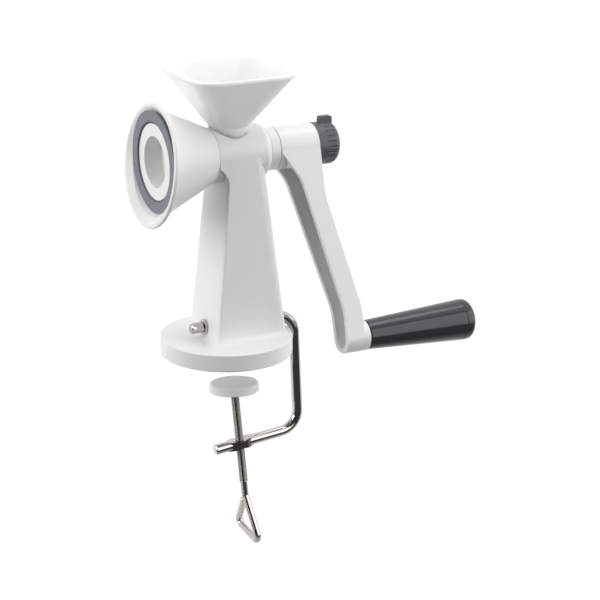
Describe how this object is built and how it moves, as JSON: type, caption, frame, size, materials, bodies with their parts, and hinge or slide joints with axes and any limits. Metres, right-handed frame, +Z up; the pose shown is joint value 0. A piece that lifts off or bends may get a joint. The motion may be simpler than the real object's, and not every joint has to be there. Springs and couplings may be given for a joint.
{
  "type": "hand cranked seed mill",
  "caption": "Table-clamped hand mill for poppy seed: tapered post on a round base, square hopper, outlet bell with grinding cone, dog-leg crank, turning grip and a rod clamp with a spindle.",
  "frame": {"origin": "centre of the base disc's underside, on the table top", "axes": "+Z up, +X along the shaft towards the crank, +Y away from the pictured side"},
  "size_m": [0.2281, 0.0959, 0.3358],
  "materials": {
    "white_plastic": "satin",
    "grey_plastic": "matt",
    "dark_plastic": "gloss",
    "plated_steel": "bright nickel",
    "steel": "turned",
    "brass": "turned",
    "pad_plastic": "satin"
  },
  "bodies": {
    "frame": {"body": "white_plastic", "outlet_bell": "white_plastic", "stator_ring": "grey_plastic", "rear_bearing": "white_plastic"},
    "hopper": {"hopper": "white_plastic"},
    "crank": {"crank_arm": "white_plastic", "thrust_washer": "steel", "grip_axle": "steel", "axle_washer": "steel"},
    "knob": {"adjusting_knob": "dark_plastic", "knob_nut": "brass"},
    "grinder": {"drive_shaft": "steel", "rotor_cone": "white_plastic", "rotor_pin": "steel", "feed_screw": "white_plastic"},
    "handle": {"grip": "dark_plastic", "grip_cap": "dark_plastic"},
    "bow": {"clamp_bow": "plated_steel", "bow_ring": "plated_steel"},
    "pad": {"clamp_pad": "pad_plastic"},
    "spindle": {"clamp_spindle": "plated_steel"}
  },
  "joints": [
    {"name": "crank_turn", "type": "hinge", "parent": "frame", "child": "crank", "pos_m": [0.05, 0, 0.1375], "axis": [1, 0, 0], "continuous": true},
    {"name": "knob_turn", "type": "hinge", "parent": "crank", "child": "knob", "pos_m": [0.07, 0, 0.1375], "axis": [1, 0, 0], "range_deg": [-288, 360]},
    {"name": "grinder_shift", "type": "slide", "parent": "crank", "child": "grinder", "axis": [1, 0, 0], "range_m": [-0.001, 0.0008]},
    {"name": "grip_spin", "type": "hinge", "parent": "crank", "child": "handle", "pos_m": [0.09, -0.03671, 0.00946], "axis": [1, 0, 0], "continuous": true},
    {"name": "hopper_lift", "type": "slide", "parent": "frame", "child": "hopper", "axis": [0, 0, 1], "range_m": [0, 0.03]},
    {"name": "bow_swing", "type": "hinge", "parent": "frame", "child": "bow", "pos_m": [0.01, 0, 0.0193], "axis": [1, 0, 0], "range_deg": [-12, 12]},
    {"name": "pad_travel", "type": "slide", "parent": "bow", "child": "pad", "axis": [-0.1045, 0, 0.9945], "range_m": [-0.025, 0.018]},
    {"name": "spindle_turn", "type": "hinge", "parent": "pad", "child": "spindle", "pos_m": [0.01016, 0, -0.06953], "axis": [-0.1045, 0, 0.9945], "range_deg": [-9000, 6480]}
  ],
  "couplings": [
    {"joint": "knob_turn", "follows": "grinder_shift", "rad_per_m": -6283.2},
    {"joint": "spindle_turn", "follows": "pad_travel", "rad_per_m": 6283.2}
  ]
}
